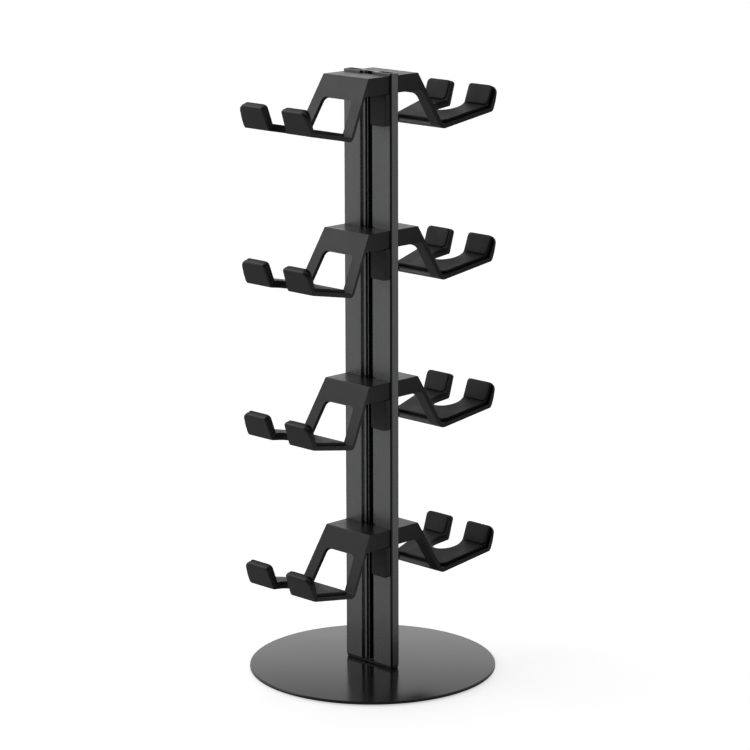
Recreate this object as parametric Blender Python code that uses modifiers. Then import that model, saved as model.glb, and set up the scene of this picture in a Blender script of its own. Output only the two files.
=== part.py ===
"""Rotating double-sided display rack: a slotted aluminium column on a round steel foot, with four
cradle brackets on each face. Each bracket slides up and down the column's slot, and the column
turns on the foot. Lengths below are millimetres; the scene is in metres with +Z up.

A bracket is modelled pointing along +Y with its table top at z = 0. The rear ones stand that way on
the column, and the front ones are turned half a turn about Z.
"""

import math

import bmesh
import bpy
from mathutils import Matrix, Vector

MM = 0.001
FINEST_MERGE = 0.00002

# Foot: a rubber mat under a thin steel disc
BASE_RADIUS = 125.0
MAT_RADIUS = 120.0
MAT_THICKNESS = 0.7
BASE_BOTTOM = 1.0
BASE_TOP = 4.0
BASE_EDGE_ROUND = 0.8
BASE_UNDER_CHAMFER = 0.3
MAT_HOLE_MARGIN = 4.0
ROUND_STEPS = 96

# Swivel: a shouldered stud through a bush in the disc, held to a plate under the column
BUSH_RADIUS = 5.2
BUSH_FLANGE_RADIUS = 7.4
BUSH_FLANGE = 0.5
BUSH_RECESS = 1.6
STUD_RADIUS = 4.0
STUD_FLANGE_RADIUS = 7.0
STUD_FLANGE = 0.6
END_SET_BACK = 0.1
RUNNING_GAP = 0.05
GLIDE_THICKNESS = 0.5
GLIDE_INSET = 0.8
SWIVEL_PLATE_THICKNESS = 2.0
SWIVEL_PLATE_INSET = 0.4
SMALL_STEPS = 24
FINE_STEPS = 12

# Clearance between neighbours, and how far a cutter passes the body that it cuts
GAP = 0.3
OVERSHOOT = 20.0
EXTENT = 90.0

# Column: a flat extrusion with a slotted channel in both wide faces
COLUMN_WIDTH = 66.0
COLUMN_DEPTH = 11.0
COLUMN_TOP = 608.0
COLUMN_CORNER = 1.8
CHANNEL_WIDTH = 19.2
CHANNEL_DEPTH = 2.45
CHANNEL_EDGE = 0.9
SLOT_WIDTH = 10.4
SLOT_LIP = 0.6
CAVITY_WIDTH = 17.4
WEB_THICKNESS = 2.6
CHAMBER_INNER = 12.2
CHAMBER_WALL = 1.7
FOOT_BLOCK_HEIGHT = 26.0
FOOT_SCREW_RADIUS = 2.0
FOOT_SCREW_SHORT = 6.0

# Brackets: where their table tops stand
TIERS = 4
LOWEST_TABLE = 150.5
TIER_PITCH = 151.7

# Bracket, seen from the side: table, leaning front plate and rising floor
TABLE_REACH = 34.2
FRONT_LEAN = math.radians(28.5)
PLATE_THICKNESS = 4.0
FLOOR_BOTTOM_REACH = 64.5
FLOOR_BOTTOM_DROP = 57.6
FLOOR_TILT = math.radians(11.5)
FLOOR_THICKNESS = 4.3
FOLD_RADIUS = 7.0
FOLD_STEPS = 6
SKIRT_HEIGHT = 17.0
SKIRT_THICKNESS = 3.0
TABLE_THICKNESS = 3.6
TABLE_EDGE_ROUND = 1.2
CREASE_ROUND = 1.5
POCKET_LEDGE = 0.5
RIB_DEPTH = 0.7
RIB_SIDE_GAP = 0.8
RIB_TOP = 1.5
RIB_BOTTOM = 16.0

# Bracket, seen from above: half widths and the two arms
TABLE_HALF = 31.0
FOLD_HALF = 37.3
ARM_END_HALF = 46.6
ARM_END_REACH = 124.7
NOTCH_END_HALF = 12.1
NOTCH_BOTTOM = 91.5
NOTCH_RADIUS = 16.0
NOTCH_ARC_START = 18
WINDOW_TOP = 19.9
LEG_WIDTH = 13.0
WINDOW_CORNER = 5.5

# Prongs and the rubber liner
PRONG_LEAN = math.radians(21.0)
PRONG_LENGTH = 24.6
PRONG_THICKNESS = 4.3
PRONG_CORNER = 8.0
PRONG_NOTCH_CORNER = 3.2
PRONG_ROUND = 2.6
PRONG_ROUND_STEPS = 3
PRONG_FOOT_CORNER = 2.5
ARM_SET_BACK = 0.4
PAD_CORNER = 7.0
LINER_THICKNESS = 2.4
LINER_EDGE_ROUND = 1.1
LINER_CORNER = 3.0
LINER_OUTER_MARGIN = 3.2
LINER_INNER_MARGIN = 0.5
LINER_START = 68.5

# Clamping hardware in each bracket
LOCK_INNER = 11.0
LOCK_WIDTH = 21.0
LOCK_DROP = 49.0
LOCK_DEPTH = 6.3
LOCK_CORNER = 3.0
NUT_HEIGHT = 14.0
NUT_FLANGE = 0.55
NUT_BOSS_TOP = 4.8
CLAMP_DROP = 9.0
CLAMP_RADIUS = 2.0
CLAMP_HEAD_RADIUS = 3.8
CLAMP_CROWN_RADIUS = 1.9
CLAMP_HEAD = 2.6
CLAMP_HEAD_EDGE = 0.9

# Colour, roughness and metallic value of each material
FINISHES = {
    "anodised_black": ((0.085, 0.085, 0.088), 0.38, 0.9),
    "coated_steel": ((0.035, 0.035, 0.037), 0.30, 0.6),
    "moulded_black": ((0.040, 0.040, 0.042), 0.55, 0.0),
    "liner_rubber": ((0.028, 0.028, 0.030), 0.80, 0.0),
    "mat_rubber": ((0.020, 0.020, 0.021), 0.90, 0.0),
    "bright_steel": ((0.45, 0.45, 0.46), 0.30, 1.0),
    "swivel_plastic": ((0.030, 0.030, 0.030), 0.45, 0.0),
}


def clear_scene():
    for obj in list(bpy.data.objects):
        bpy.data.objects.remove(obj, do_unlink=True)


def new_collection(name):
    collection = bpy.data.collections.new(name)
    bpy.context.scene.collection.children.link(collection)
    return collection


def finish(name):
    """The named Principled material, made the first time it is asked for."""
    found = bpy.data.materials.get(name)
    if found:
        return found
    colour, roughness, metallic = FINISHES[name]
    made = bpy.data.materials.new(name)
    made.use_nodes = True
    shader = made.node_tree.nodes["Principled BSDF"]
    shader.inputs["Base Color"].default_value = (*colour, 1.0)
    shader.inputs["Roughness"].default_value = roughness
    shader.inputs["Metallic"].default_value = metallic
    return made


def arc(centre, radius, start, end, segments):
    """Points on a circle from one angle to another, in degrees, with both ends."""
    points = []
    for step in range(segments + 1):
        angle = math.radians(start + (end - start) * step / segments)
        points.append((centre[0] + radius * math.cos(angle), centre[1] + radius * math.sin(angle)))
    return points


def rounded(corners, segments=4):
    """A closed outline from (x, y, radius) corners, with each corner of a radius above 0 rounded."""
    outline = []
    count = len(corners)
    for index, (x, y, radius) in enumerate(corners):
        corner = Vector((x, y))
        if radius <= 0:
            outline.append((x, y))
            continue
        before = (Vector(corners[index - 1][:2]) - corner).normalized()
        after = (Vector(corners[(index + 1) % count][:2]) - corner).normalized()
        half = before.angle(after) / 2
        centre = corner + (before + after).normalized() * radius / math.sin(half)
        first = corner + before * radius / math.tan(half) - centre
        last = corner + after * radius / math.tan(half) - centre
        turn = first.angle_signed(last)
        for step in range(segments + 1):
            arm = first.copy()
            arm.rotate(Matrix.Rotation(-turn * step / segments, 2))
            outline.append(tuple(centre + arm))
    return outline


def link(name, mesh, collection):
    obj = bpy.data.objects.new(name, mesh)
    collection.objects.link(obj)
    return obj


def evaluated_mesh(obj, name):
    """The object's mesh with its modifiers applied, in its own space."""
    bpy.context.view_layer.update()
    graph = bpy.context.evaluated_depsgraph_get()
    mesh = bpy.data.meshes.new_from_object(obj.evaluated_get(graph))
    mesh.name = name
    work = bmesh.new()
    work.from_mesh(mesh)
    bmesh.ops.remove_doubles(work, verts=work.verts, dist=FINEST_MERGE)
    bmesh.ops.dissolve_degenerate(work, edges=work.edges, dist=FINEST_MERGE)
    wires = [edge for edge in work.edges if edge.is_wire]
    bmesh.ops.delete(work, geom=wires, context="EDGES")
    bmesh.ops.recalc_face_normals(work, faces=work.faces)
    work.to_mesh(mesh)
    work.free()
    mesh.shade_smooth()
    mesh.set_sharp_from_angle(angle=math.radians(28))
    return mesh


def prism(name, outlines, low, high, collection, matrix=None):
    """A flat 2D curve, first outline outside and the others holes, given thickness from low to high."""
    curve = bpy.data.curves.new(name, "CURVE")
    curve.dimensions = "2D"
    curve.fill_mode = "BOTH"
    curve.extrude = (high - low) / 2 * MM
    for outline in outlines:
        spline = curve.splines.new("POLY")
        spline.points.add(len(outline) - 1)
        for point, (x, y) in zip(spline.points, outline):
            point.co = (x * MM, y * MM, 0.0, 1.0)
        spline.use_cyclic_u = True
    flat = link(name, curve, collection)
    mesh = evaluated_mesh(flat, name)
    bpy.data.objects.remove(flat, do_unlink=True)
    bpy.data.curves.remove(curve)
    mesh.transform(Matrix.Translation((0.0, 0.0, (high + low) / 2 * MM)))
    if matrix:
        mesh.transform(matrix)
    return link(name, mesh, collection)


def box(name, low, high, collection):
    """A cube primitive, stretched between two corners."""
    mesh = bpy.data.meshes.new(name)
    work = bmesh.new()
    bmesh.ops.create_cube(work, size=1.0)
    size = Vector(high) - Vector(low)
    middle = (Vector(high) + Vector(low)) / 2
    bmesh.ops.scale(work, vec=size * MM, verts=work.verts)
    bmesh.ops.translate(work, vec=middle * MM, verts=work.verts)
    work.to_mesh(mesh)
    work.free()
    return link(name, mesh, collection)


def turned(name, profile, steps, collection, closed=False):
    """A profile of (radius, height) points, from the top down the outer side, spun about Z."""
    mesh = bpy.data.meshes.new(name)
    points = [(radius * MM, 0.0, height * MM) for radius, height in profile]
    edges = [(index, index + 1) for index in range(len(points) - 1)]
    if closed:
        edges.append((len(points) - 1, 0))
    mesh.from_pydata(points, edges, [])
    obj = link(name, mesh, collection)
    screw = obj.modifiers.new("Turn", "SCREW")
    screw.axis = "Z"
    screw.angle = math.tau
    screw.steps = steps
    screw.render_steps = steps
    screw.use_merge_vertices = True
    screw.merge_threshold = FINEST_MERGE
    return bake(obj)


def bake(obj):
    """Replaces an object's mesh with its evaluated one and drops its modifiers."""
    mesh = evaluated_mesh(obj, obj.name)
    old = obj.data
    obj.modifiers.clear()
    obj.data = mesh
    bpy.data.meshes.remove(old)
    return obj


def combine(obj, others, operation):
    """Applies one exact Boolean for each other object, and removes those objects."""
    for other in others:
        modifier = obj.modifiers.new(operation.title(), "BOOLEAN")
        modifier.operation = operation
        modifier.solver = "EXACT"
        modifier.object = other
    bake(obj)
    for other in others:
        bpy.data.objects.remove(other, do_unlink=True)
    return obj


def side_matrix():
    """Turns an outline drawn as (reach, height) so that its thickness runs across the bracket."""
    return Matrix(((0, 0, 1, 0), (1, 0, 0, 0), (0, 1, 0, 0), (0, 0, 0, 1)))


def place(obj, finish_name):
    obj.data.materials.clear()
    obj.data.materials.append(finish(finish_name))
    return obj


# ---------------------------------------------------------------- foot and swivel


def glide_bottom():
    return BASE_TOP + GAP


def swivel_plate_bottom():
    return glide_bottom() + GLIDE_THICKNESS + GAP


def column_bottom():
    return swivel_plate_bottom() + SWIVEL_PLATE_THICKNESS + GAP


def chamber_outer():
    return COLUMN_WIDTH / 2 - CHAMBER_WALL


def chamber_middle():
    return (CHAMBER_INNER + chamber_outer()) / 2


def build_base_mat(collection):
    inner = BUSH_FLANGE_RADIUS + MAT_HOLE_MARGIN
    profile = [(inner, MAT_THICKNESS), (MAT_RADIUS, MAT_THICKNESS), (MAT_RADIUS, 0.0), (inner, 0.0)]
    place(turned("base_mat", profile, ROUND_STEPS, collection, closed=True), "mat_rubber")


def build_base_disc(collection):
    """A steel disc with a softened rim, a bore for the bush and a recess below for its flange."""
    rim = BASE_RADIUS - BASE_EDGE_ROUND
    top_arc = arc((rim, BASE_TOP - BASE_EDGE_ROUND), BASE_EDGE_ROUND, 90, 0, 3)
    bore = BUSH_RADIUS + GAP
    recess = BUSH_FLANGE_RADIUS + GAP
    recess_top = BASE_BOTTOM + BUSH_RECESS
    profile = [(bore, BASE_TOP), *top_arc, (BASE_RADIUS, BASE_BOTTOM + BASE_UNDER_CHAMFER)]
    profile += [(BASE_RADIUS - BASE_UNDER_CHAMFER, BASE_BOTTOM), (recess, BASE_BOTTOM)]
    profile += [(recess, recess_top), (bore, recess_top)]
    place(turned("base_disc", profile, ROUND_STEPS, collection, closed=True), "coated_steel")


def build_swivel_bush(collection):
    bore = STUD_RADIUS + RUNNING_GAP
    flange_top = BASE_BOTTOM + BUSH_RECESS - GAP
    flange_bottom = flange_top - BUSH_FLANGE
    profile = [(bore, BASE_TOP), (BUSH_RADIUS, BASE_TOP), (BUSH_RADIUS, flange_top)]
    profile += [(BUSH_FLANGE_RADIUS, flange_top), (BUSH_FLANGE_RADIUS, flange_bottom)]
    profile += [(bore, flange_bottom)]
    place(turned("swivel_bush", profile, SMALL_STEPS, collection, closed=True), "swivel_plastic")


def build_swivel_stud(collection):
    """The stud's flange bears on the bush from below, and its shank ends inside the swivel plate."""
    flange_top = BASE_BOTTOM + BUSH_RECESS - GAP - BUSH_FLANGE - RUNNING_GAP
    flange_bottom = flange_top - STUD_FLANGE
    shank_top = swivel_plate_bottom() + SWIVEL_PLATE_THICKNESS - END_SET_BACK
    profile = [(0.0, shank_top), (STUD_RADIUS, shank_top), (STUD_RADIUS, flange_top)]
    profile += [(STUD_FLANGE_RADIUS, flange_top), (STUD_FLANGE_RADIUS, flange_bottom)]
    profile += [(0.0, flange_bottom)]
    place(turned("swivel_stud", profile, SMALL_STEPS, collection), "bright_steel")


def foot_outline(inset):
    half_width = COLUMN_WIDTH / 2 - inset
    half_depth = COLUMN_DEPTH / 2 - inset
    signs = ((1, 1), (-1, 1), (-1, -1), (1, -1))
    return rounded([(sx * half_width, sy * half_depth, COLUMN_CORNER) for sx, sy in signs])


def circle(x, radius, steps=SMALL_STEPS):
    return arc((x, 0.0), radius, 0, 360 - 360 / steps, steps - 1)


def build_swivel_plate(collection):
    low = swivel_plate_bottom()
    holes = [circle(0.0, STUD_RADIUS + GAP)]
    for side in (-1, 1):
        holes.append(circle(side * chamber_middle(), FOOT_SCREW_RADIUS + GAP, FINE_STEPS))
    outlines = [foot_outline(SWIVEL_PLATE_INSET), *holes]
    plate = prism("swivel_plate", outlines, low, low + SWIVEL_PLATE_THICKNESS, collection)
    place(plate, "coated_steel")


def build_glide_strip(collection):
    low = glide_bottom()
    outlines = [foot_outline(GLIDE_INSET), circle(0.0, STUD_RADIUS + GAP)]
    strip = prism("glide_strip", outlines, low, low + GLIDE_THICKNESS, collection)
    place(strip, "swivel_plastic")


def build_foot_fixings(collection):
    """A block in each chamber of the column, and the screw that pulls the swivel plate up to it."""
    for side, word in ((-1, "left"), (1, "right")):
        x = side * chamber_middle()
        half = (chamber_outer() - CHAMBER_INNER) / 2 - GAP
        depth = COLUMN_DEPTH / 2 - CHAMBER_WALL - GAP
        low = column_bottom() + GAP
        outline = [(x - half, -depth), (x + half, -depth), (x + half, depth), (x - half, depth)]
        hole = circle(x, FOOT_SCREW_RADIUS + GAP, FINE_STEPS)
        block = prism(f"foot_block_{word}", [outline, hole], low, low + FOOT_BLOCK_HEIGHT, collection)
        place(block, "bright_steel")
        top = low + FOOT_BLOCK_HEIGHT - FOOT_SCREW_SHORT
        bottom = swivel_plate_bottom() + END_SET_BACK
        profile = [(0.0, top), (FOOT_SCREW_RADIUS, top), (FOOT_SCREW_RADIUS, bottom), (0.0, bottom)]
        screw = turned(f"foot_screw_{word}", profile, FINE_STEPS, collection)
        screw.data.transform(Matrix.Translation((x * MM, 0.0, 0.0)))
        place(screw, "bright_steel")


# ---------------------------------------------------------------- column


def channel_side(sign):
    """Half of the column's outline, along its face at sign * Y, from +X to -X or back."""
    face = COLUMN_DEPTH / 2
    ledge = face - CHANNEL_DEPTH
    lip = ledge - SLOT_LIP
    web = WEB_THICKNESS / 2
    steps = arc((CHANNEL_WIDTH / 2 + CHANNEL_EDGE, face - CHANNEL_EDGE), CHANNEL_EDGE, 90, 180, 2)
    steps += [(CHANNEL_WIDTH / 2, ledge), (SLOT_WIDTH / 2, ledge), (SLOT_WIDTH / 2, lip)]
    steps += [(CAVITY_WIDTH / 2, lip), (CAVITY_WIDTH / 2, web)]
    path = [(x, y) for x, y in steps] + [(-x, y) for x, y in reversed(steps)]
    return [(x * sign, y * sign) for x, y in path]


def column_outline():
    half_width = COLUMN_WIDTH / 2
    half_depth = COLUMN_DEPTH / 2
    r = COLUMN_CORNER
    outline = arc((half_width - r, half_depth - r), r, 0, 90, 3)
    outline += channel_side(1)
    outline += arc((r - half_width, half_depth - r), r, 90, 180, 3)
    outline += arc((r - half_width, r - half_depth), r, 180, 270, 3)
    outline += channel_side(-1)
    outline += arc((half_width - r, r - half_depth), r, 270, 360, 3)
    return outline


def build_column(collection):
    depth = COLUMN_DEPTH / 2 - CHAMBER_WALL
    chambers = []
    for side in (-1, 1):
        near, far = side * CHAMBER_INNER, side * chamber_outer()
        chambers.append([(near, -depth), (far, -depth), (far, depth), (near, depth)])
    outlines = [column_outline(), *chambers]
    place(prism("column", outlines, column_bottom(), COLUMN_TOP, collection), "anodised_black")


# ---------------------------------------------------------------- bracket


def bracket_back():
    return COLUMN_DEPTH / 2 + GAP


def front_reach(drop):
    """How far out the front plate's outer face stands, at a drop below the table top."""
    return TABLE_REACH + drop * math.tan(FRONT_LEAN)


def floor_height(reach, above=0.0):
    """Height of the floor at this reach, raised square to it from its lower face."""
    rise = (reach - FLOOR_BOTTOM_REACH) * math.tan(FLOOR_TILT)
    return rise - FLOOR_BOTTOM_DROP + above / math.cos(FLOOR_TILT)


def crease(above, shift=0.0):
    """Where the front plate's outer face, moved in by shift, meets a level above the floor's underside."""
    slopes = math.tan(FLOOR_TILT) * math.tan(FRONT_LEAN)
    height = floor_height(TABLE_REACH - shift, above) / (1 + slopes)
    return front_reach(-height) - shift, height


def side_profile():
    """The frame seen from the side as (reach, height): a block under the table, front plate, floor."""
    back = bracket_back()
    shift = PLATE_THICKNESS / math.cos(FRONT_LEAN)
    crease_reach, crease_height = crease(FLOOR_THICKNESS)
    far = ARM_END_REACH + OVERSHOOT
    heel_reach, heel_height = crease(0.0, shift)
    corners = [
        (back, 0.0, 0.0),
        (TABLE_REACH, 0.0, TABLE_EDGE_ROUND),
        (crease_reach, crease_height, CREASE_ROUND),
        (far, floor_height(far, FLOOR_THICKNESS), 0.0),
        (far, floor_height(far), 0.0),
        (heel_reach, heel_height, FOLD_RADIUS),
        (front_reach(SKIRT_HEIGHT) - shift, -SKIRT_HEIGHT, 0.0),
        (back, -SKIRT_HEIGHT, 0.0),
    ]
    return rounded(corners, FOLD_STEPS)


def splay():
    return math.atan2(ARM_END_HALF - FOLD_HALF, ARM_END_REACH - FLOOR_BOTTOM_REACH)


def arm_end(inset_outer, inset_inner, back_off):
    """The two corners of an arm's outer end, seen from above: at its outer edge, then at the notch."""
    reach = ARM_END_REACH - back_off
    outer = ARM_END_HALF - back_off * math.tan(splay()) - inset_outer
    return (outer, reach), (NOTCH_END_HALF + inset_inner, reach)


def notch_points(inset, end):
    """From an arm's end, round the bottom of the notch between the arms, to the other arm's end."""
    half = arc((0.0, NOTCH_BOTTOM + NOTCH_RADIUS), NOTCH_RADIUS + inset, NOTCH_ARC_START, -90, 8)
    return [end, *half, *[(-x, y) for x, y in reversed(half[:-1])], (-end[0], end[1])]


def plan_outline():
    """The frame seen from above, with the notch between its arms."""
    outer, inner = arm_end(0.0, 0.0, ARM_SET_BACK)
    right = [(TABLE_HALF, bracket_back() - OVERSHOOT), (TABLE_HALF, TABLE_REACH)]
    right += [(FOLD_HALF, FLOOR_BOTTOM_REACH), outer]
    return right + notch_points(0.0, inner) + [(-x, y) for x, y in reversed(right)]


def frame_half(reach):
    """Half width of the front plate at this reach."""
    share = (reach - TABLE_REACH) / (FLOOR_BOTTOM_REACH - TABLE_REACH)
    return TABLE_HALF + share * (FOLD_HALF - TABLE_HALF)


def build_window(collection):
    """Cutter for the window: square to the front plate, and stopping on the floor's upper face."""
    shift = PLATE_THICKNESS / math.cos(FRONT_LEAN)
    crease_reach, _ = crease(FLOOR_THICKNESS)
    low_half = frame_half(crease_reach) - LEG_WIDTH
    top_half = frame_half(front_reach(WINDOW_TOP)) - LEG_WIDTH
    top = -WINDOW_TOP / math.cos(FRONT_LEAN)
    bottom = -(crease_reach - TABLE_REACH) / math.sin(FRONT_LEAN)
    flare = (low_half - top_half) / (top - bottom)
    low = bottom - OVERSHOOT
    corners = [(low_half + flare * OVERSHOOT, low, 0.0), (top_half, top, WINDOW_CORNER)]
    outline = rounded(corners + [(-x, y, r) for x, y, r in reversed(corners)], 5)
    across = Vector((1.0, 0.0, 0.0))
    along = Vector((0.0, -math.sin(FRONT_LEAN), math.cos(FRONT_LEAN)))
    matrix = Matrix((across, along, across.cross(along))).transposed().to_4x4()
    matrix.translation = Vector((0.0, TABLE_REACH, 0.0)) * MM
    window = prism("window", [outline], -OVERSHOOT, OVERSHOOT, collection, matrix)
    far = ARM_END_REACH
    near = bracket_back()
    under = [(near, floor_height(near, FLOOR_THICKNESS)), (far, floor_height(far, FLOOR_THICKNESS))]
    under += [(far, floor_height(near) - OVERSHOOT), (near, floor_height(near) - OVERSHOOT)]
    slab = prism("slab", [under], -EXTENT, EXTENT, collection, side_matrix())
    return combine(window, [slab], "DIFFERENCE")


def prong_matrix(side):
    """Axes along a prong's width, up its outer face and into it, from its outer lower corner."""
    outward = Vector((0.0, 1.0, 0.0))
    across = Vector((1.0, 0.0, 0.0))
    up = Vector((0.0, 0.0, 1.0))
    along = outward * math.sin(PRONG_LEAN) + up * math.cos(PRONG_LEAN)
    inward = up * math.sin(PRONG_LEAN) - outward * math.cos(PRONG_LEAN)
    matrix = Matrix((across, along, inward)).transposed().to_4x4()
    matrix.translation = Vector((side * ARM_END_HALF, ARM_END_REACH, floor_height(ARM_END_REACH))) * MM
    return matrix


def prong_outline(side, outer, inner, foot, top, radius, foot_radius):
    """A prong's outline between margins, in the axes of prong_matrix."""
    width = ARM_END_HALF - NOTCH_END_HALF
    flare = top * math.sin(PRONG_LEAN) * math.tan(splay())
    corners = [(-outer, foot, foot_radius), (flare - outer, top, radius)]
    corners += [(inner - width, top, PRONG_NOTCH_CORNER), (inner - width, foot, foot_radius)]
    return rounded([(side * x, y, r) for x, y, r in corners][::side], 4)


def build_prong(side, collection):
    """A prong whose outer face is rounded over at its sides and top."""
    outline = prong_outline(side, 0.0, 0.0, 0.0, PRONG_LENGTH, PRONG_CORNER, PRONG_FOOT_CORNER)
    prong = prism("prong", [outline], 0.0, PRONG_THICKNESS, collection)
    work = bmesh.new()
    work.from_mesh(prong.data)
    bmesh.ops.dissolve_limit(work, angle_limit=math.radians(1), verts=work.verts, edges=work.edges)
    rim = []
    for edge in work.edges:
        on_face = all(abs(vert.co.z) < FINEST_MERGE for vert in edge.verts)
        if on_face and all(vert.co.y > PRONG_FOOT_CORNER * MM - FINEST_MERGE for vert in edge.verts):
            rim.append(edge)
    bmesh.ops.bevel(
        work,
        geom=rim,
        offset=PRONG_ROUND * MM,
        segments=PRONG_ROUND_STEPS,
        profile=0.5,
        affect="EDGES",
    )
    work.to_mesh(prong.data)
    work.free()
    prong.data.transform(prong_matrix(side))
    return prong


def build_frame_mesh(collection):
    frame = prism("frame", [side_profile()], -EXTENT, EXTENT, collection, side_matrix())
    back = bracket_back()
    shift = PLATE_THICKNESS / math.cos(FRONT_LEAN) + POCKET_LEDGE
    roof, deep = TABLE_THICKNESS, SKIRT_HEIGHT + OVERSHOOT
    pocket_profile = [(back + SKIRT_THICKNESS, -roof), (front_reach(roof) - shift, -roof)]
    pocket_profile += [(front_reach(deep) - shift, -deep), (back + SKIRT_THICKNESS, -deep)]
    half = TABLE_HALF - SKIRT_THICKNESS
    pocket = prism("pocket", [pocket_profile], -half, half, collection, side_matrix())
    plan = prism("plan", [plan_outline()], -EXTENT, EXTENT, collection)
    combine(frame, [pocket, build_window(collection)], "DIFFERENCE")
    combine(frame, [plan], "INTERSECT")
    prongs = [build_prong(side, collection) for side in (-1, 1)]
    rib_half = CHANNEL_WIDTH / 2 - RIB_SIDE_GAP
    rib_low = (-rib_half, back - RIB_DEPTH, -RIB_BOTTOM)
    rib_high = (rib_half, back + SKIRT_THICKNESS / 2, -RIB_TOP)
    combine(frame, [*prongs, box("rib", rib_low, rib_high, collection)], "UNION")
    hole = clamp_cylinder("hole", CLAMP_RADIUS + GAP, back - RIB_DEPTH - GAP, back + OVERSHOOT, collection)
    combine(frame, [hole], "DIFFERENCE")
    return frame


def clamp_cylinder(name, radius, low, high, collection):
    """A cylinder along Y on the clamp screw's axis."""
    spin = Matrix.Rotation(-math.pi / 2, 4, "X")
    move = Matrix.Translation((0.0, 0.0, -CLAMP_DROP * MM))
    return prism(name, [circle(0.0, radius, 16)], low, high, collection, move @ spin)


def build_liner_mesh(collection):
    """One moulded liner: a sheet on the floor, cut round the notch, with a pad up each prong."""
    low = FLOOR_THICKNESS + GAP
    high = low + LINER_THICKNESS
    far = ARM_END_REACH + OVERSHOOT
    corners = [
        (LINER_START, floor_height(LINER_START, low), 0.0),
        (LINER_START, floor_height(LINER_START, high), LINER_EDGE_ROUND),
        (far, floor_height(far, high), 0.0),
        (far, floor_height(far, low), 0.0),
    ]
    liner = prism("liner", [rounded(corners, 3)], -EXTENT, EXTENT, collection, side_matrix())
    low_face = PRONG_THICKNESS + GAP
    corner = PRONG_LEAN + FLOOR_TILT
    foot = (low - low_face * math.sin(corner)) / math.cos(corner)
    back_off = (low_face + LINER_THICKNESS / 2) * math.cos(PRONG_LEAN)
    outer, inner = arm_end(LINER_OUTER_MARGIN, LINER_INNER_MARGIN, back_off)
    start_half = FOLD_HALF + (LINER_START - FLOOR_BOTTOM_REACH) * math.tan(splay()) - LINER_OUTER_MARGIN
    right = [(start_half - LINER_CORNER, LINER_START - GAP), (start_half, LINER_START + LINER_CORNER), outer]
    outline = right + notch_points(LINER_INNER_MARGIN, inner) + [(-x, y) for x, y in reversed(right)]
    combine(liner, [prism("plan", [outline], -EXTENT, EXTENT, collection)], "INTERSECT")
    pads = []
    for side in (-1, 1):
        top = PRONG_LENGTH - LINER_INNER_MARGIN
        shape = (LINER_OUTER_MARGIN, LINER_INNER_MARGIN, foot, top, PAD_CORNER, 0.0)
        outline = prong_outline(side, *shape)
        matrix = prong_matrix(side)
        pads.append(prism("pad", [outline], low_face, low_face + LINER_THICKNESS, collection, matrix))
    combine(liner, pads, "UNION")
    return liner


def build_lock_mesh(collection):
    """The block under the table that bears on the column beside the channel."""
    outer = -LOCK_INNER - LOCK_WIDTH
    top, bottom = -SKIRT_HEIGHT - GAP, -LOCK_DROP
    corners = [(outer, bottom, LOCK_CORNER), (-LOCK_INNER, bottom, LOCK_CORNER)]
    corners += [(-LOCK_INNER, top, 0.0), (outer, top, 0.0)]
    spin = Matrix.Rotation(math.pi / 2, 4, "X")
    low = -bracket_back() - LOCK_DEPTH
    return prism("lock", [rounded(corners, 3)], low, -bracket_back(), collection, spin)


def build_nut_mesh(collection):
    """A T nut: its flange runs behind the slot's lips and its boss comes out between them."""
    seat = WEB_THICKNESS / 2 + GAP
    wide = CAVITY_WIDTH / 2 - 2 * GAP
    narrow = SLOT_WIDTH / 2 - GAP
    right = [(wide, seat), (wide, seat + NUT_FLANGE), (narrow, seat + NUT_FLANGE), (narrow, NUT_BOSS_TOP)]
    outline = right + [(-x, y) for x, y in reversed(right)]
    low, high = -CLAMP_DROP - NUT_HEIGHT / 2, -CLAMP_DROP + NUT_HEIGHT / 2
    nut = prism("nut", [outline], low, high, collection)
    hole = clamp_cylinder("hole", CLAMP_RADIUS + GAP, 0.0, OVERSHOOT, collection)
    return combine(nut, [hole], "DIFFERENCE")


def build_clamp_mesh(collection):
    """A button-head screw: its head sits inside the skirt and its shank ends in the slide nut."""
    seat = bracket_back() + SKIRT_THICKNESS + GAP
    tip = WEB_THICKNESS / 2 + GAP
    crown = seat + CLAMP_HEAD
    profile = [(0.0, crown), (CLAMP_CROWN_RADIUS, crown), (CLAMP_HEAD_RADIUS, seat + CLAMP_HEAD_EDGE)]
    profile += [(CLAMP_HEAD_RADIUS, seat), (CLAMP_RADIUS, seat)]
    profile += [(CLAMP_RADIUS, tip), (0.0, tip)]
    screw = turned("clamp", profile, FINE_STEPS, collection)
    spin = Matrix.Rotation(-math.pi / 2, 4, "X")
    screw.data.transform(Matrix.Translation((0.0, 0.0, -CLAMP_DROP * MM)) @ spin)
    return screw


def build_brackets(collection, workshop):
    """Eight brackets from one set of meshes, each hung from an empty on the column's axis."""
    patterns = {
        "frame": (build_frame_mesh(workshop), "moulded_black"),
        "liner": (build_liner_mesh(workshop), "liner_rubber"),
        "lock_block": (build_lock_mesh(workshop), "moulded_black"),
        "slide_nut": (build_nut_mesh(workshop), "bright_steel"),
        "clamp_screw": (build_clamp_mesh(workshop), "bright_steel"),
    }
    for face, turn in (("front", math.pi), ("rear", 0.0)):
        for tier in range(TIERS):
            height = LOWEST_TABLE + tier * TIER_PITCH
            carrier = bpy.data.objects.new(f"{face}_{tier + 1}_carrier", None)
            carrier.location = (0.0, 0.0, height * MM)
            carrier.rotation_euler = (0.0, 0.0, turn)
            collection.objects.link(carrier)
            for piece, (pattern, finish_name) in patterns.items():
                copy = link(f"{face}_{tier + 1}_{piece}", pattern.data, collection)
                copy.parent = carrier
                if not pattern.data.materials:
                    place(copy, finish_name)
    for pattern, _ in patterns.values():
        bpy.data.objects.remove(pattern, do_unlink=True)


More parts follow.
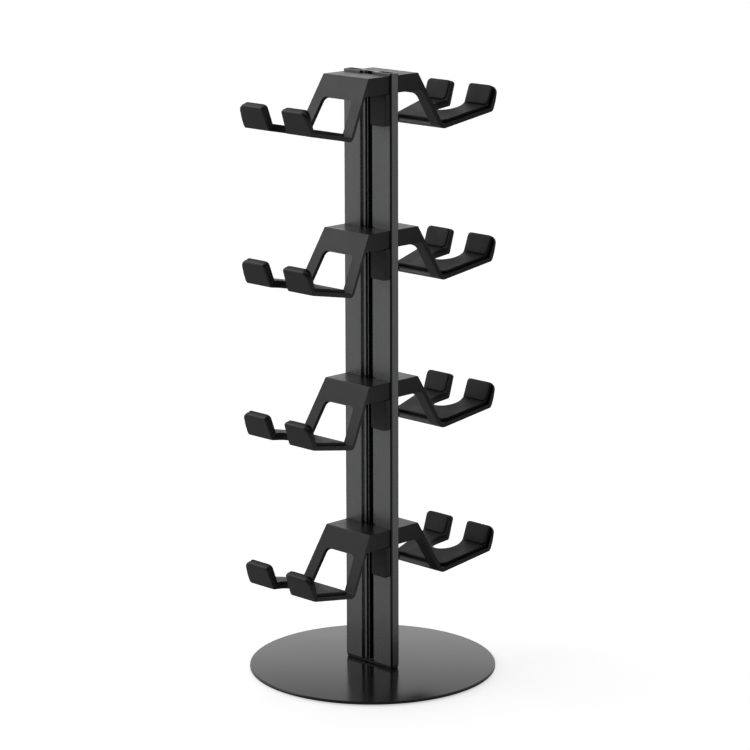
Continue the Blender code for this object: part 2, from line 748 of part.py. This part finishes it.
def main():
    clear_scene()
    rack = new_collection("rotating_display_rack")
    workshop = new_collection("workshop")
    workshop.hide_render = True
    build_base_mat(rack)
    build_base_disc(rack)
    build_swivel_bush(rack)
    build_swivel_stud(rack)
    build_glide_strip(rack)
    build_swivel_plate(rack)
    build_foot_fixings(rack)
    build_column(rack)
    build_brackets(rack, workshop)


main()
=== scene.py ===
"""Looks for the rotating display rack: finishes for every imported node, softened edges on the moulded
and extruded parts, finely turned foot and screws, and a plain pale studio. Lengths are metres.
"""

import math

import bmesh
import bpy
from mathutils import Matrix, Vector


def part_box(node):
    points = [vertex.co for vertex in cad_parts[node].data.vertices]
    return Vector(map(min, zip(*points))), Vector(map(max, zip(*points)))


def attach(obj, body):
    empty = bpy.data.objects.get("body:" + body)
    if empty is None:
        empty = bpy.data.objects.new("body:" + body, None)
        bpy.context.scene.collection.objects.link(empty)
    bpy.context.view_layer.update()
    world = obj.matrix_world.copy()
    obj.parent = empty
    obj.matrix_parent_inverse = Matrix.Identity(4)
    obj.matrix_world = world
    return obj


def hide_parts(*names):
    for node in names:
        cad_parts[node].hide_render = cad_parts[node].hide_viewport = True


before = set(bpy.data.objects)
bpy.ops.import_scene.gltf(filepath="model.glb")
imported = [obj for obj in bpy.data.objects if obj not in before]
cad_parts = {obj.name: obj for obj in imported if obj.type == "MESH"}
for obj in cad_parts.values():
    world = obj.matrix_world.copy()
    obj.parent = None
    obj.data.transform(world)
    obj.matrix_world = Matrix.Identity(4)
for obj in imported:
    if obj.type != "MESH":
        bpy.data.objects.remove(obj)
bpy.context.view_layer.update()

MM = 0.001
FACES = ("front", "rear")
TIERS = (1, 2, 3, 4)
FOOT = "foot"

# Camera
CAMERA_AZIMUTH = math.radians(45.19)
CAMERA_PITCH = math.radians(12.94)
CAMERA_ROLL = math.radians(-0.16)
CAMERA_DISTANCE = 2.939
CAMERA_TARGET_HEIGHT = 0.3037
CAMERA_SHIFT = 0.0032
CAMERA_LENS = 141.5
CAMERA_SENSOR = 36.0

# Studio
FLOOR_SIZE = 14.0
FLOOR_GAP = 0.0002
FLOOR_SHADE = 0.95
FLOOR_LIFT = 0.60
FLOOR_BOUNCE = 0.76
OVERHEAD_LIGHT = 0.60
RIGHT_LIGHT = 0.36
TENT_DARK_SIDE = (0.80, 0.58, -0.10)
CAMERA_WALL = 0.10
LEFT_LIGHT = 1.0
KEY_PLACE = (-2.2, -1.2, 2.4)
KEY_TARGET = (0.0, 0.0, 0.3)
KEY_SIZE = (1.6, 1.6)
KEY_POWER = 12.0

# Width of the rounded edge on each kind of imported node
EDGES = {"frame": 0.7 * MM, "liner": 0.5 * MM, "lock_block": 0.8 * MM, "slide_nut": 0.2 * MM}
COLUMN_EDGE = 0.25 * MM
LINER_GROW = 0.38 * MM

# Foot's disc: its rim's rounding above as a share of the thickness, and below as a share of that
DISC_STEPS = 240
DISC_BORE_GAP = 0.3 * MM
RIM_SHARE = 0.42
UNDER_SHARE = 0.7

# Clamp screws, with the head's section as (rise above its seat in millimetres, share of its radius)
SCREW_STEPS = 24
SCREW_SHANK = 2.0 * MM
SCREW_TIP_SHARE = 0.8
SCREW_TIP_TAPER = 0.4 * MM
SCREW_HEAD = 2.6 * MM
SCREW_HEAD_SECTION = ((0.0, 1.0), (0.7, 1.0), (1.4, 0.93), (2.15, 0.74), (2.6, 0.5))
SOCKET_HALF = 1.25 * MM
SOCKET_DEPTH = 1.5 * MM

# Column's slot, painted black as shade where this near to its middle, in depth and across
SLOT_DEEP = 2.2 * MM
SLOT_SHADE_HALF = 2.9 * MM

# Column's outer corners, with a painted dark reflection over this much of its wide and its narrow faces
CORNER_REFLECTION_WIDE = 1.9 * MM
CORNER_REFLECTION_NARROW = 1.4 * MM

# Shader levels: an ordinary surface's shine, and the anodised metal's share and its slot's roughness
PLAIN_SHINE = 0.5
METAL_SHARE = 0.85
SLOT_ROUGHER = 0.6

# Cushion pads on the prongs, and their section as (rise above the liner, inset) in millimetres
PRONG_LEAN = math.radians(21.0)
LINER_THICKNESS = 2.4 * MM
PAD_INNER = 13.7 * MM
PAD_WIDTH = 30.2 * MM
PAD_FLARE = 1.0 * MM
PAD_HEIGHT = 20.2 * MM
PAD_LAP = 0.3 * MM
PAD_CORNER = 4.8 * MM
PAD_LEAST_CORNER = 0.6 * MM
PAD_CORNER_STEPS = 6
PAD_LAYERS = ((-0.7, 0.0), (0.35, 0.0), (0.75, 0.15), (1.0, 0.5), (1.1, 1.2), (1.2, 3.0), (1.3, 6.5))


# ---------------------------------------------------------------- materials


class Finish:
    """A procedural material: a Principled shader with its colour, roughness and bump built up in steps."""

    def __init__(self, name, colour, roughness, metallic=0.0, shine=PLAIN_SHINE):
        self.material = bpy.data.materials.new(name)
        self.material.use_nodes = True
        self.tree = self.material.node_tree
        self.shader = self.tree.nodes["Principled BSDF"]
        self.shader.inputs["Metallic"].default_value = metallic
        self.shader.inputs["Specular IOR Level"].default_value = shine
        self.place = self.tree.nodes.new("ShaderNodeTexCoord").outputs["Object"]
        self.colour = self.value_node("ShaderNodeRGB", (*colour, 1.0))
        self.roughness = self.value_node("ShaderNodeValue", roughness)
        self.normal = None

    def value_node(self, kind, value):
        node = self.tree.nodes.new(kind)
        node.outputs[0].default_value = value
        return node.outputs[0]

    def join(self, source, socket):
        self.tree.links.new(source, socket)

    def maths(self, operation, first, second):
        node = self.tree.nodes.new("ShaderNodeMath")
        node.operation = operation
        for socket, value in zip(node.inputs, (first, second)):
            if isinstance(value, (int, float)):
                socket.default_value = value
            else:
                self.join(value, socket)
        return node.outputs[0]

    def noise(self, size, stretch=(1.0, 1.0, 1.0), detail=3.0):
        """Noise with features of this size in metres, longer along an axis with a stretch above 1."""
        mapping = self.tree.nodes.new("ShaderNodeMapping")
        mapping.inputs["Scale"].default_value = [1.0 / (size * share) for share in stretch]
        self.join(self.place, mapping.inputs["Vector"])
        texture = self.tree.nodes.new("ShaderNodeTexNoise")
        texture.inputs["Scale"].default_value = 1.0
        texture.inputs["Detail"].default_value = detail
        self.join(mapping.outputs[0], texture.inputs["Vector"])
        return texture.outputs["Fac"]

    def within(self, axis, limit):
        """1 where the place is nearer than limit to zero along this axis, and 0 elsewhere."""
        split = self.tree.nodes.new("ShaderNodeSeparateXYZ")
        self.join(self.place, split.inputs[0])
        return self.maths("LESS_THAN", self.maths("ABSOLUTE", split.outputs[axis], 0.0), limit)

    def ramp(self, source, low, high, bottom=0.0, top=1.0):
        """A smooth change from bottom to top as the source goes from low to high."""
        node = self.tree.nodes.new("ShaderNodeMapRange")
        node.interpolation_type = "SMOOTHSTEP"
        for socket, value in zip(list(node.inputs)[1:5], (low, high, bottom, top)):
            socket.default_value = value
        self.join(source, node.inputs["Value"])
        return node.outputs[0]

    def mix_colour(self, share, colour):
        node = self.tree.nodes.new("ShaderNodeMix")
        node.data_type = "RGBA"
        sockets = [socket for socket in node.inputs if socket.type == "RGBA"]
        self.join(share, node.inputs[0])
        self.join(self.colour, sockets[0])
        sockets[1].default_value = (*colour, 1.0)
        self.colour = next(socket for socket in node.outputs if socket.type == "RGBA")

    def mottle(self, size, colour, roughness_swing, stretch=(1.0, 1.0, 1.0)):
        """Slow drift of colour and roughness over the surface."""
        patch = self.noise(size, stretch)
        self.mix_colour(self.ramp(patch, low=0.35, high=0.75), colour)
        swing = self.ramp(patch, 0.3, 0.7, bottom=-roughness_swing, top=roughness_swing)
        self.roughness = self.maths("ADD", self.roughness, swing)

    def relief(self, height, depth):
        """Raises the surface by this height, a value from 0 to 1, times depth in metres."""
        bump = self.tree.nodes.new("ShaderNodeBump")
        bump.inputs["Strength"].default_value = 1.0
        bump.inputs["Distance"].default_value = depth
        self.join(height, bump.inputs["Height"])
        if self.normal is not None:
            self.join(self.normal, bump.inputs["Normal"])
        self.normal = bump.outputs[0]

    def corners(self, radius):
        """How nearly a copy of the surface rounded to this radius faces the same way: below 1 at corners."""
        bevel = self.tree.nodes.new("ShaderNodeBevel")
        bevel.samples = 4
        bevel.inputs["Radius"].default_value = radius
        geometry = self.tree.nodes.new("ShaderNodeNewGeometry")
        dot = self.tree.nodes.new("ShaderNodeVectorMath")
        dot.operation = "DOT_PRODUCT"
        self.join(bevel.outputs[0], dot.inputs[0])
        self.join(geometry.outputs["Normal"], dot.inputs[1])
        return dot.outputs["Value"]

    def edge_wear(self, radius, colour, roughness, strength):
        """Rubbed corners, in patches."""
        corner = self.ramp(self.corners(radius), low=0.985, high=0.80)
        patchy = self.ramp(self.noise(size=0.006, detail=5.0), low=0.42, high=0.68)
        worn = self.maths("MULTIPLY", self.maths("MULTIPLY", corner, patchy), strength)
        self.mix_colour(worn, colour)
        change = self.maths("MULTIPLY", worn, roughness)
        self.roughness = self.maths("ADD", self.roughness, change)

    def shade_hollows(self, reach, least):
        """Painted shade: takes the shine down to this share of itself where other surfaces stand close by.
        """
        hollow = self.tree.nodes.new("ShaderNodeAmbientOcclusion")
        hollow.samples = 6
        hollow.inputs["Distance"].default_value = reach
        shine = self.ramp(hollow.outputs["AO"], low=0.25, high=0.85, bottom=least)
        level = self.shader.inputs["Specular IOR Level"]
        self.join(self.maths("MULTIPLY", shine, level.default_value), level)

    def done(self):
        self.join(self.colour, self.shader.inputs["Base Color"])
        self.join(self.roughness, self.shader.inputs["Roughness"])
        if self.normal is not None:
            self.join(self.normal, self.shader.inputs["Normal"])
        return self.material


def anodised_black():
    """Dark anodised aluminium: faint die lines up the extrusion, a painted dark reflection along its outer
    corners, and painted shade that turns its slot black.
    """
    made = Finish("anodised_black_extrusion", (0.208, 0.210, 0.211), roughness=0.27, metallic=METAL_SHARE)
    made.mottle(0.05, (0.228, 0.231, 0.231), roughness_swing=0.03, stretch=(1.0, 1.0, 6.0))
    made.relief(made.noise(0.0006, stretch=(1.0, 1.0, 400.0), detail=2.0), depth=0.00002)
    made.relief(made.noise(0.0004), depth=0.000008)
    made.edge_wear(0.0006, (0.30, 0.30, 0.31), roughness=-0.06, strength=0.3)
    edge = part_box("column")[1]
    # Painted dark reflection: the column's outer corners are coloured near black over the widths above.
    wide = made.maths("SUBTRACT", 1.0, made.within("X", edge.x - CORNER_REFLECTION_WIDE))
    narrow = made.maths("SUBTRACT", 1.0, made.within("Y", edge.y - CORNER_REFLECTION_NARROW))
    made.mix_colour(made.maths("MULTIPLY", wide, narrow), (0.030, 0.031, 0.032))
    # Painted shade: deep in the slot the metal is coloured black, made rougher and given no shine, standing
    # in for the shade in the cavity.
    slot_shade = made.maths("MULTIPLY", made.within("Y", SLOT_DEEP), made.within("X", SLOT_SHADE_HALF))
    facing = made.tree.nodes.new("ShaderNodeSeparateXYZ")
    made.join(made.tree.nodes.new("ShaderNodeNewGeometry").outputs["Normal"], facing.inputs[0])
    upright = made.maths("LESS_THAN", facing.outputs["Z"], 0.5)
    slot_shade = made.maths("MULTIPLY", slot_shade, upright)
    made.mix_colour(slot_shade, (0.004, 0.004, 0.004))
    made.roughness = made.maths("ADD", made.roughness, made.maths("MULTIPLY", slot_shade, SLOT_ROUGHER))
    dull = made.maths("SUBTRACT", 1.0, slot_shade)
    made.join(made.maths("MULTIPLY", dull, METAL_SHARE), made.shader.inputs["Metallic"])
    made.join(made.maths("MULTIPLY", dull, PLAIN_SHINE), made.shader.inputs["Specular IOR Level"])
    return made.done()


def coated_steel():
    """Satin powder coat with a fine orange peel."""
    made = Finish("satin_powder_coat", (0.012, 0.012, 0.0125), roughness=0.14, shine=0.57)
    made.mottle(0.035, (0.015, 0.015, 0.0155), roughness_swing=0.02)
    made.relief(made.noise(0.0012, detail=1.5), depth=0.00002)
    made.relief(made.noise(0.0003), depth=0.000006)
    made.edge_wear(0.0008, (0.035, 0.035, 0.036), roughness=-0.04, strength=0.5)
    return made.done()


def moulded_black():
    """Moulded plastic with a spark-eroded grain, and faint flow drift."""
    made = Finish("moulded_black_grain", (0.0065, 0.0065, 0.0068), roughness=0.33, shine=0.43)
    made.mottle(0.03, (0.0085, 0.0085, 0.0088), roughness_swing=0.03)
    made.relief(made.noise(0.00045, detail=4.0), depth=0.000022)
    made.relief(made.noise(0.012, detail=1.0), depth=0.00005)
    made.edge_wear(0.0007, (0.030, 0.030, 0.031), roughness=-0.06, strength=0.5)
    # Painted shade on the shine in hollows and between parts.
    made.shade_hollows(reach=0.030, least=0.25)
    return made.done()


def liner_rubber():
    """Matt moulded rubber with a fine stipple and a little dust."""
    made = Finish("liner_rubber_stipple", (0.0060, 0.0060, 0.0062), roughness=0.52, shine=0.36)
    made.mottle(0.02, (0.0085, 0.0085, 0.0085), roughness_swing=0.05)
    made.relief(made.noise(0.0007, detail=2.0), depth=0.00004)
    made.edge_wear(0.0007, (0.022, 0.022, 0.022), roughness=0.05, strength=0.5)
    # Painted shade on the shine in hollows and between parts.
    made.shade_hollows(reach=0.020, least=0.35)
    return made.done()


def mat_rubber():
    """Flat sheet rubber under the foot."""
    made = Finish("sheet_rubber", (0.014, 0.014, 0.014), roughness=0.85)
    made.mottle(0.015, (0.022, 0.022, 0.021), roughness_swing=0.05)
    made.relief(made.noise(0.0015), depth=0.00012)
    return made.done()


def bright_steel():
    """Zinc plated steel with turning marks."""
    made = Finish("zinc_plated_steel", (0.46, 0.46, 0.47), roughness=0.30, metallic=1.0)
    made.mottle(0.004, (0.38, 0.38, 0.37), roughness_swing=0.08)
    made.relief(made.noise(0.0002, stretch=(1.0, 1.0, 0.3), detail=2.0), depth=0.00001)
    made.edge_wear(0.0003, (0.62, 0.62, 0.63), roughness=-0.08, strength=0.5)
    return made.done()


def swivel_plastic():
    """Black acetal, slightly waxy, with light scuffs."""
    made = Finish("black_acetal", (0.012, 0.012, 0.012), roughness=0.42)
    made.mottle(0.006, (0.020, 0.020, 0.019), roughness_swing=0.06)
    made.relief(made.noise(0.0006), depth=0.00002)
    return made.done()


MAKERS = (anodised_black, coated_steel, moulded_black, liner_rubber, mat_rubber, bright_steel)
FINISHES = {maker.__name__: maker() for maker in (*MAKERS, swivel_plastic)}


def dress(obj, name):
    """Gives the object one finish in place of any it has."""
    obj.data.materials.clear()
    obj.data.materials.append(FINISHES[name])


# ---------------------------------------------------------------- shapes


def soften(obj, width, segments=3, angle=32.0, grow=0.0):
    """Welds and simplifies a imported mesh, swells it if asked, then rounds its sharp edges."""
    weld = obj.modifiers.new("Weld", "WELD")
    weld.merge_threshold = 0.00001
    flat = obj.modifiers.new("Flat", "DECIMATE")
    flat.decimate_type = "DISSOLVE"
    flat.angle_limit = math.radians(0.6)
    if grow:
        swell = obj.modifiers.new("Swell", "DISPLACE")
        swell.strength = grow
        swell.mid_level = 0.0
    bevel = obj.modifiers.new("Edges", "BEVEL")
    bevel.width = width
    bevel.segments = segments
    bevel.limit_method = "ANGLE"
    bevel.angle_limit = math.radians(angle)
    even = obj.modifiers.new("Even", "WEIGHTED_NORMAL")
    even.weight = 100
    even.keep_sharp = False


def link(name, mesh, body, finish_name, *replaced):
    """A new piece in place on a body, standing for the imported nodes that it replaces."""
    mesh.shade_smooth()
    mesh.set_sharp_from_angle(angle=math.radians(35))
    piece = bpy.data.objects.new(name, mesh)
    bpy.context.scene.collection.objects.link(piece)
    dress(piece, finish_name)
    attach(piece, body)
    if replaced:
        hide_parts(*replaced)
    return piece


def ring_of(radius, height, steps):
    """A level ring of points about the vertical axis."""
    return [(radius * math.cos(a), radius * math.sin(a), height) for a in angles(steps)]


def angles(steps):
    """Even angles round a full turn."""
    return [math.tau * step / steps for step in range(steps)]


def loft(name, rings, closed_profile):
    """A skin through rings of equal count: capped at both ends, or joined from last ring to first."""
    mesh = bpy.data.meshes.new(name)
    work = bmesh.new()
    loops = [[work.verts.new(point) for point in ring] for ring in rings]
    pairs = list(zip(loops, loops[1:]))
    if closed_profile:
        pairs.append((loops[-1], loops[0]))
    else:
        work.faces.new(loops[0])
        work.faces.new(loops[-1])
    count = len(loops[0])
    for near, far in pairs:
        for index in range(count):
            following = (index + 1) % count
            work.faces.new((near[index], near[following], far[following], far[index]))
    bmesh.ops.recalc_face_normals(work, faces=work.faces)
    work.to_mesh(mesh)
    work.free()
    return mesh


# ---------------------------------------------------------------- object


def quarter(radius, centre, start, steps):
    """Points along a quarter turn of a rim's section, clockwise from this angle in degrees."""
    points = []
    for step in range(steps + 1):
        angle = math.radians(start - 90 * step / steps)
        points.append((centre[0] + radius * math.cos(angle), centre[1] + radius * math.sin(angle)))
    return points


def build_base_plate():
    """The foot's disc, finely turned, with its rim rounded above and below."""
    low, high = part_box("base_disc")
    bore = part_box("swivel_bush")[1].x + DISC_BORE_GAP
    edge = (high.z - low.z) * RIM_SHARE
    under = edge * UNDER_SHARE
    profile = [(bore, high.z)]
    profile += quarter(edge, (high.x - edge, high.z - edge), start=90, steps=6)
    profile += quarter(under, (high.x - under, low.z + under), start=0, steps=3)
    profile.append((bore, low.z))
    rings = [ring_of(radius, height, DISC_STEPS) for radius, height in profile]
    link("base_plate", loft("base_plate", rings, True), FOOT, "coated_steel", "base_disc")


def hexagon_reach(half_width, angle):
    """How far from its middle a hexagon of this half width across flats reaches at an angle."""
    side = math.pi / 3
    return half_width / math.cos((angle + side / 2) % side - side / 2)


def build_socket_screw(face, tier):
    """A button-head screw with a hex socket, pointing out along the bracket."""
    node = f"{face}_{tier}_clamp_screw"
    low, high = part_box(node)
    outward = 1.0 if face == "rear" else -1.0
    tip, crown = (low.y, high.y) if face == "rear" else (high.y, low.y)
    head = (high.x - low.x) / 2
    middle = (low.z + high.z) / 2
    seat = crown - outward * SCREW_HEAD
    shoulder = tip + outward * SCREW_TIP_TAPER
    section = [(SCREW_SHANK * SCREW_TIP_SHARE, tip), (SCREW_SHANK, shoulder), (SCREW_SHANK, seat)]
    section += [(head * share, seat + outward * rise * MM) for rise, share in SCREW_HEAD_SECTION]
    turns = angles(SCREW_STEPS)
    rings = []
    for radius, y in section:
        rings.append([(radius * math.cos(a), y, middle + radius * math.sin(a)) for a in turns])
    for y in (crown, crown - outward * SOCKET_DEPTH):
        reaches = [(hexagon_reach(SOCKET_HALF, a), a) for a in turns]
        rings.append([(reach * math.cos(a), y, middle + reach * math.sin(a)) for reach, a in reaches])
    name = f"{face}_{tier}_socket_screw"
    link(name, loft(name, rings, False), f"{face}_{tier}_bracket", "bright_steel", node)


def pad_outline(side, inset):
    """A cushion's outline from its foot up, in from its edge by inset, with every corner rounded."""
    low_x, high_x = inset - PAD_WIDTH / 2, PAD_WIDTH / 2 - inset
    low_y, high_y = inset, PAD_HEIGHT - inset
    corners = [(low_x, low_y), (high_x, low_y), (high_x + PAD_FLARE, high_y), (low_x, high_y)]
    radius = max(PAD_CORNER - inset, PAD_LEAST_CORNER)
    outline = []
    for index, corner in enumerate(corners):
        here = Vector(corner)
        before = (Vector(corners[index - 1]) - here).normalized()
        after = (Vector(corners[(index + 1) % 4]) - here).normalized()
        half = before.angle(after) / 2
        centre = here + (before + after).normalized() * radius / math.sin(half)
        start = here + before * radius / math.tan(half) - centre
        turn = start.angle_signed(here + after * radius / math.tan(half) - centre)
        for step in range(PAD_CORNER_STEPS + 1):
            arm = start.copy()
            arm.rotate(Matrix.Rotation(-turn * step / PAD_CORNER_STEPS, 2))
            outline.append((side * (centre + arm).x, (centre + arm).y))
    return outline


def build_pad(face, tier, word):
    """A crowned rubber cushion over the liner, on the inner side of one prong."""
    low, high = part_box(f"{face}_{tier}_liner")
    out = 1.0 if face == "rear" else -1.0
    side = 1.0 if word == "right" else -1.0
    tip = high.y if face == "rear" else -low.y
    along = Vector((0.0, out * math.sin(PRONG_LEAN), math.cos(PRONG_LEAN)))
    inward = Vector((0.0, -out * math.cos(PRONG_LEAN), math.sin(PRONG_LEAN)))
    crown = Vector((0.0, out * (tip - LINER_THICKNESS * math.cos(PRONG_LEAN)), high.z))
    foot = crown + along * (PAD_LAP - PAD_HEIGHT)
    foot.x = side * (PAD_INNER + PAD_WIDTH / 2)
    rings = []
    for rise, inset in PAD_LAYERS:
        ring = []
        for x, y in pad_outline(side, inset * MM):
            ring.append(foot + Vector((x, 0.0, 0.0)) + along * y + inward * rise * MM)
        rings.append(ring)
    name = f"{face}_{tier}_pad_{word}"
    link(name, loft(name, rings, False), f"{face}_{tier}_bracket", "liner_rubber")


def dress_nodes():
    """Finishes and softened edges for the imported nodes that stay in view."""
    slots = {
        "base_mat": "mat_rubber",
        "swivel_bush": "swivel_plastic",
        "glide_strip": "swivel_plastic",
        "swivel_plate": "coated_steel",
        "swivel_stud": "bright_steel",
        "column": "anodised_black",
    }
    for side in ("left", "right"):
        slots[f"foot_block_{side}"] = "bright_steel"
        slots[f"foot_screw_{side}"] = "bright_steel"
    for face in FACES:
        for tier in TIERS:
            slots[f"{face}_{tier}_frame"] = "moulded_black"
            slots[f"{face}_{tier}_liner"] = "liner_rubber"
            slots[f"{face}_{tier}_lock_block"] = "swivel_plastic"
            slots[f"{face}_{tier}_slide_nut"] = "bright_steel"
    for node, finish_name in slots.items():
        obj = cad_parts[node]
        dress(obj, finish_name)
        kind = node.split("_", 2)[-1]
        if kind in EDGES:
            soften(obj, EDGES[kind], grow=LINER_GROW if kind == "liner" else 0.0)
    soften(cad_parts["column"], COLUMN_EDGE, segments=2)


# ---------------------------------------------------------------- studio


def build_floor():
    """A pale floor that looks white to the camera, and bounces less light than it shows."""
    mesh = bpy.data.meshes.new("floor")
    half = FLOOR_SIZE / 2
    corners = ((-half, -half), (half, -half), (half, half), (-half, half))
    mesh.from_pydata([(x, y, -FLOOR_GAP) for x, y in corners], [], [(0, 1, 2, 3)])
    floor = bpy.data.objects.new("floor", mesh)
    bpy.context.scene.collection.objects.link(floor)
    paint = Finish("pale_floor", (FLOOR_BOUNCE,) * 3, roughness=0.75)
    paint.mottle(0.8, (FLOOR_BOUNCE * 0.98,) * 3, roughness_swing=0.02)
    seen = paint.tree.nodes.new("ShaderNodeLightPath").outputs["Is Camera Ray"]
    paint.mix_colour(seen, (FLOOR_SHADE,) * 3)
    paint.shader.inputs["Emission Color"].default_value = (1.0, 1.0, 1.0, 1.0)
    paint.join(paint.maths("MULTIPLY", seen, FLOOR_LIFT), paint.shader.inputs["Emission Strength"])
    floor.data.materials.append(paint.done())


def world_ramp(tree, source, low, high, bottom, top):
    """A smooth change from bottom to top as the source goes from low to high."""
    node = tree.nodes.new("ShaderNodeMapRange")
    node.interpolation_type = "SMOOTHSTEP"
    for socket, value in zip(list(node.inputs)[1:5], (low, high, bottom, top)):
        socket.default_value = value
    tree.links.new(source, node.inputs["Value"])
    return node.outputs[0]


def world_facing(tree, place, direction):
    """How nearly the sky seen lies along a direction, up to 1."""
    node = tree.nodes.new("ShaderNodeVectorMath")
    node.operation = "DOT_PRODUCT"
    node.inputs[1].default_value = Vector(direction).normalized()
    tree.links.new(place, node.inputs[0])
    return node.outputs["Value"]


def build_world():
    """A white tent: dimmer overhead and on its right wall, and open and dark behind the camera."""
    world = bpy.data.worlds.new("studio")
    world.use_nodes = True
    tree = world.node_tree
    place = tree.nodes.new("ShaderNodeTexCoord").outputs["Generated"]
    right = world_facing(tree, place, TENT_DARK_SIDE)
    above = world_facing(tree, place, (0.0, 0.0, 1.0))
    behind = world_facing(tree, place, (math.sin(CAMERA_AZIMUTH), -math.cos(CAMERA_AZIMUTH), 0.0))
    shares = [
        world_ramp(tree, right, low=0.1, high=0.8, bottom=LEFT_LIGHT, top=RIGHT_LIGHT),
        world_ramp(tree, above, low=0.26, high=0.5, bottom=1.0, top=OVERHEAD_LIGHT),
        world_ramp(tree, behind, low=0.14, high=0.5, bottom=1.0, top=CAMERA_WALL),
    ]
    strength = shares[0]
    for share in shares[1:]:
        product = tree.nodes.new("ShaderNodeMath")
        product.operation = "MULTIPLY"
        tree.links.new(strength, product.inputs[0])
        tree.links.new(share, product.inputs[1])
        strength = product.outputs[0]
    background = tree.nodes["Background"]
    tree.links.new(strength, background.inputs["Strength"])
    background.inputs["Color"].default_value = (1.0, 1.0, 1.0, 1.0)
    bpy.context.scene.world = world


def build_light(name, place, target, size, power):
    lamp = bpy.data.lights.new(name, "AREA")
    lamp.shape = "RECTANGLE"
    lamp.size, lamp.size_y = size
    lamp.energy = power
    light = bpy.data.objects.new(name, lamp)
    light.location = place
    aim = Vector(target) - Vector(place)
    light.rotation_euler = aim.to_track_quat("-Z", "Y").to_euler()
    bpy.context.scene.collection.objects.link(light)


def build_camera():
    """A long lens aimed at the middle of the rack."""
    azimuth, pitch, roll = CAMERA_AZIMUTH, CAMERA_PITCH, CAMERA_ROLL
    flat = Vector((math.sin(azimuth), -math.cos(azimuth), 0.0))
    back = flat * math.cos(pitch) + Vector((0.0, 0.0, math.sin(pitch)))
    right = Vector((math.cos(azimuth), math.sin(azimuth), 0.0))
    up = back.cross(right)
    across = right * math.cos(roll) + up * math.sin(roll)
    upright = up * math.cos(roll) - right * math.sin(roll)
    matrix = Matrix((across, upright, back)).transposed().to_4x4()
    target = Vector((0.0, 0.0, CAMERA_TARGET_HEIGHT)) + right * CAMERA_SHIFT
    matrix.translation = target + back * CAMERA_DISTANCE
    lens = bpy.data.cameras.new("camera")
    lens.lens = CAMERA_LENS
    lens.sensor_width = CAMERA_SENSOR
    camera = bpy.data.objects.new("camera", lens)
    camera.matrix_world = matrix
    bpy.context.scene.collection.objects.link(camera)
    bpy.context.scene.camera = camera


build_base_plate()
for face_word in FACES:
    for tier_number in TIERS:
        build_socket_screw(face_word, tier_number)
        for side_word in ("left", "right"):
            build_pad(face_word, tier_number, side_word)
dress_nodes()
build_floor()
build_world()
build_light("key", KEY_PLACE, KEY_TARGET, KEY_SIZE, KEY_POWER)
build_camera()
bpy.context.scene.view_settings.view_transform = "Standard"
